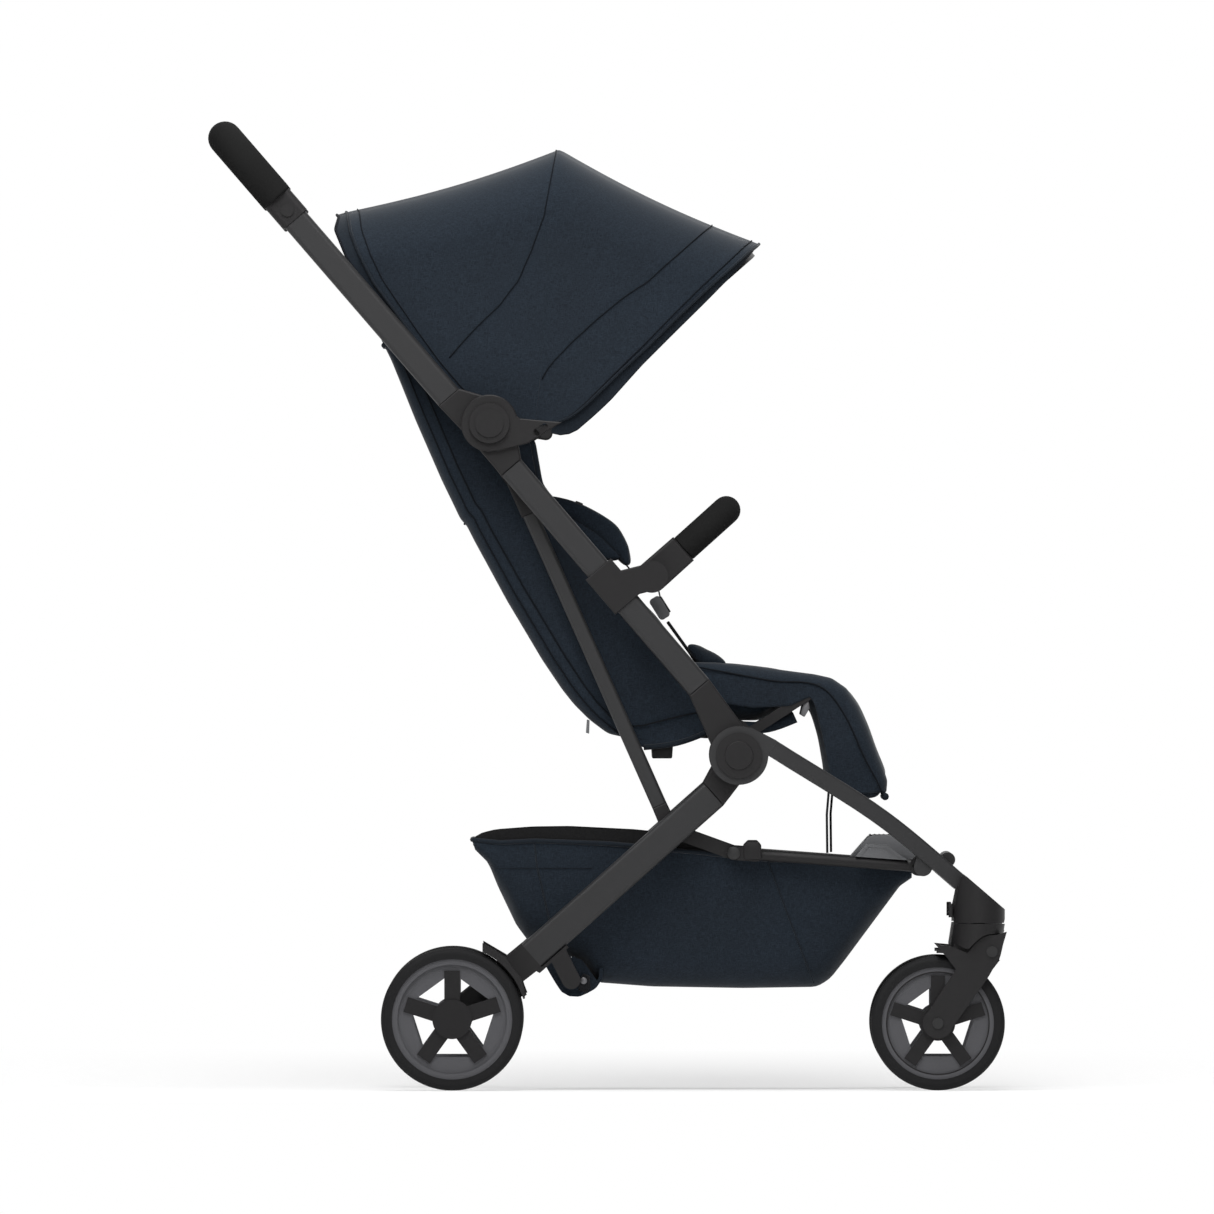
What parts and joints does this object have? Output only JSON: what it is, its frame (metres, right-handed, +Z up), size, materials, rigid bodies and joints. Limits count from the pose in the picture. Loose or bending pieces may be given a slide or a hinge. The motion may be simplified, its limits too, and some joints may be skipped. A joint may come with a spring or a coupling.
{
  "type": "baby stroller",
  "caption": "Folding baby stroller with reclining seat, canopy, bumper bar, leg rest, storage basket, sprung swivel front wheels and foam push handle.",
  "frame": {"origin": "on the floor, midway between the two sides and midway between the front and rear ends", "axes": "+X forward, +Y to the rider's left, +Z up"},
  "size_m": [0.8695, 0.45, 1.055],
  "materials": {
    "frame_metal": "satin powder coat",
    "dark_plastic": "finely grained moulding",
    "grey_plastic": "smooth satin moulding",
    "rim_plastic": "satin moulding",
    "foam": "soft closed-cell foam",
    "tyre_rubber": "matt rubber",
    "navy_fabric": "fine plain weave",
    "black_fabric": "close woven polyester",
    "webbing": "ribbed webbing",
    "pin_steel": "zinc plated",
    "bow_steel": "black enamel"
  },
  "bodies": {
    "frame": {"main_tubes": "frame_metal", "tube_sockets": "dark_plastic", "canopy_brackets": "dark_plastic", "hub_caps": "dark_plastic", "canopy_carriers": "dark_plastic", "seat_cross_tube": "frame_metal", "seat_frame": "frame_metal", "seat_cushion": "navy_fabric", "crotch_strap": "webbing", "buckle": "grey_plastic", "bumper_clamps": "dark_plastic", "canopy_rear_bow": "bow_steel", "canopy_rear_cover": "navy_fabric"},
    "handle": {"handle_knuckles": "dark_plastic", "handle_tubes": "frame_metal", "handle_ends": "dark_plastic", "handle_grip": "foam"},
    "trigger": {"fold_trigger": "dark_plastic"},
    "rear_frame": {"rear_legs": "frame_metal", "rear_leg_sockets": "dark_plastic", "rear_leg_ends": "dark_plastic", "rear_cross_bar": "frame_metal", "rear_pins": "pin_steel", "mudguards": "dark_plastic", "basket": "black_fabric"},
    "pedal": {"brake_pedal": "dark_plastic"},
    "rear_wheel_r": {"rear_wheel_right": "rim_plastic", "rear_tyre_right": "tyre_rubber"},
    "rear_wheel_l": {"rear_wheel_left": "rim_plastic", "rear_tyre_left": "tyre_rubber"},
    "strut_pair": {"struts": "frame_metal", "strut_ends": "dark_plastic"},
    "arm_pair": {"rear_arms": "frame_metal"},
    "front_frame": {"front_legs": "frame_metal", "front_housings": "dark_plastic", "front_cross_bar": "frame_metal"},
    "rail_pair": {"front_rails": "frame_metal", "footrest": "grey_plastic"},
    "backrest": {"seat_back": "navy_fabric", "harness_pads": "black_fabric", "harness_straps": "webbing"},
    "calf_rest": {"leg_rest": "navy_fabric"},
    "bumper": {"bumper_arms": "dark_plastic", "bumper_grip": "foam"},
    "button": {"buckle_button": "dark_plastic"},
    "canopy_middle": {"canopy_middle_bow": "bow_steel", "canopy_front_cover": "navy_fabric"},
    "canopy_front": {"canopy_front_bow": "bow_steel"},
    "swivel_r": {"swivel_head_right": "dark_plastic"},
    "fork_r": {"fork_right": "dark_plastic", "fork_bolts_right": "pin_steel"},
    "front_wheel_r": {"front_wheel_right": "rim_plastic", "front_tyre_right": "tyre_rubber"},
    "swivel_lock_r": {"swivel_lock_right": "dark_plastic"},
    "swivel_l": {"swivel_head_left": "dark_plastic"},
    "fork_l": {"fork_left": "dark_plastic", "fork_bolts_left": "pin_steel"},
    "front_wheel_l": {"front_wheel_left": "rim_plastic", "front_tyre_left": "tyre_rubber"},
    "swivel_lock_l": {"swivel_lock_left": "dark_plastic"}
  },
  "joints": [
    {"name": "frame_fold", "type": "hinge", "parent": "frame", "child": "handle", "pos_m": [-0.127, 0, 0.726], "axis": [0, 1, 0], "range_deg": [0, 148]},
    {"name": "rear_leg_fold", "type": "hinge", "parent": "frame", "child": "rear_frame", "pos_m": [0.1445, 0, 0.3645], "axis": [0, 1, 0], "range_deg": [0, 66.01], "deforming": ["basket"]},
    {"name": "strut_fold", "type": "hinge", "parent": "rear_frame", "child": "strut_pair", "pos_m": [0.07, 0, 0.283], "axis": [0, 1, 0], "range_deg": [-73.19, 0]},
    {"name": "arm_fold", "type": "hinge", "parent": "rear_frame", "child": "arm_pair", "pos_m": [0.07, 0, 0.283], "axis": [0, 1, 0], "range_deg": [-65.04, 0]},
    {"name": "front_leg_fold", "type": "hinge", "parent": "frame", "child": "front_frame", "pos_m": [0.1445, 0, 0.3645], "axis": [0, 1, 0], "range_deg": [0, 124.01]},
    {"name": "rail_fold", "type": "hinge", "parent": "front_frame", "child": "rail_pair", "pos_m": [0.345, 0, 0.243], "axis": [0, 1, 0], "range_deg": [0, 20.64]},
    {"name": "trigger_press", "type": "slide", "parent": "handle", "child": "trigger", "axis": [-0.6536, 0, 0.7569], "range_m": [0, 0.005], "stiffness_N_per_m": 400, "springref_m": -0.003},
    {"name": "pedal_press", "type": "hinge", "parent": "rear_frame", "child": "pedal", "pos_m": [-0.038, 0, 0.12], "axis": [0, 1, 0], "range_deg": [-22, 0]},
    {"name": "rear_wheel_spin_r", "type": "hinge", "parent": "rear_frame", "child": "rear_wheel_r", "pos_m": [-0.1675, -0.21, 0.0775], "axis": [0, 1, 0], "continuous": true},
    {"name": "rear_wheel_spin_l", "type": "hinge", "parent": "rear_frame", "child": "rear_wheel_l", "pos_m": [-0.1675, 0.21, 0.0775], "axis": [0, 1, 0], "continuous": true},
    {"name": "backrest_recline", "type": "hinge", "parent": "frame", "child": "backrest", "pos_m": [0.02, 0, 0.394], "axis": [0, 1, 0], "range_deg": [-30, 0], "deforming": ["harness_straps"]},
    {"name": "leg_rest_lift", "type": "hinge", "parent": "frame", "child": "calf_rest", "pos_m": [0.231, 0, 0.437], "axis": [0, 1, 0], "range_deg": [-60, 0]},
    {"name": "bumper_swing", "type": "hinge", "parent": "frame", "child": "bumper", "pos_m": [0.05, 0, 0.559], "axis": [0, 1, 0], "range_deg": [-30, 60]},
    {"name": "buckle_press", "type": "slide", "parent": "frame", "child": "button", "axis": [-0.848, 0, -0.5299], "range_m": [0, 0.0025], "stiffness_N_per_m": 600, "springref_m": -0.002},
    {"name": "canopy_middle_fold", "type": "hinge", "parent": "frame", "child": "canopy_middle", "pos_m": [-0.066, 0, 0.716], "axis": [0, 1, 0], "range_deg": [-38, 0], "deforming": ["canopy_front_cover", "canopy_rear_cover"]},
    {"name": "canopy_front_fold", "type": "hinge", "parent": "canopy_middle", "child": "canopy_front", "pos_m": [-0.066, 0, 0.716], "axis": [0, 1, 0], "range_deg": [-40, 0]},
    {"name": "swivel_r", "type": "hinge", "parent": "front_frame", "child": "swivel_r", "pos_m": [0.406, -0.184, 0.18], "axis": [0, 0, 1], "continuous": true},
    {"name": "suspension_r", "type": "hinge", "parent": "swivel_r", "child": "fork_r", "pos_m": [0.42, -0.184, 0.151], "axis": [0, 1, 0], "range_deg": [0, 4], "stiffness_Nm_per_rad": 40, "springref_deg": -10},
    {"name": "front_wheel_spin_r", "type": "hinge", "parent": "fork_r", "child": "front_wheel_r", "pos_m": [0.361, -0.184, 0.073], "axis": [0, 1, 0], "continuous": true},
    {"name": "swivel_lock_r", "type": "slide", "parent": "front_frame", "child": "swivel_lock_r", "axis": [0, 0, 1], "range_m": [0, 0.006]},
    {"name": "swivel_l", "type": "hinge", "parent": "front_frame", "child": "swivel_l", "pos_m": [0.406, 0.184, 0.18], "axis": [0, 0, 1], "continuous": true},
    {"name": "suspension_l", "type": "hinge", "parent": "swivel_l", "child": "fork_l", "pos_m": [0.42, 0.184, 0.151], "axis": [0, 1, 0], "range_deg": [0, 4], "stiffness_Nm_per_rad": 40, "springref_deg": -10},
    {"name": "front_wheel_spin_l", "type": "hinge", "parent": "fork_l", "child": "front_wheel_l", "pos_m": [0.361, 0.184, 0.073], "axis": [0, 1, 0], "continuous": true},
    {"name": "swivel_lock_l", "type": "slide", "parent": "front_frame", "child": "swivel_lock_l", "axis": [0, 0, 1], "range_m": [0, 0.006]}
  ],
  "couplings": [
    {"joint": "rear_leg_fold", "follows": "frame_fold", "ratio": 0.44595},
    {"joint": "strut_fold", "follows": "frame_fold", "ratio": -0.49443},
    {"joint": "arm_fold", "follows": "frame_fold", "ratio": -0.43937},
    {"joint": "front_leg_fold", "follows": "frame_fold", "ratio": 0.83784},
    {"joint": "rail_fold", "follows": "frame_fold", "ratio": 0.13937}
  ]
}
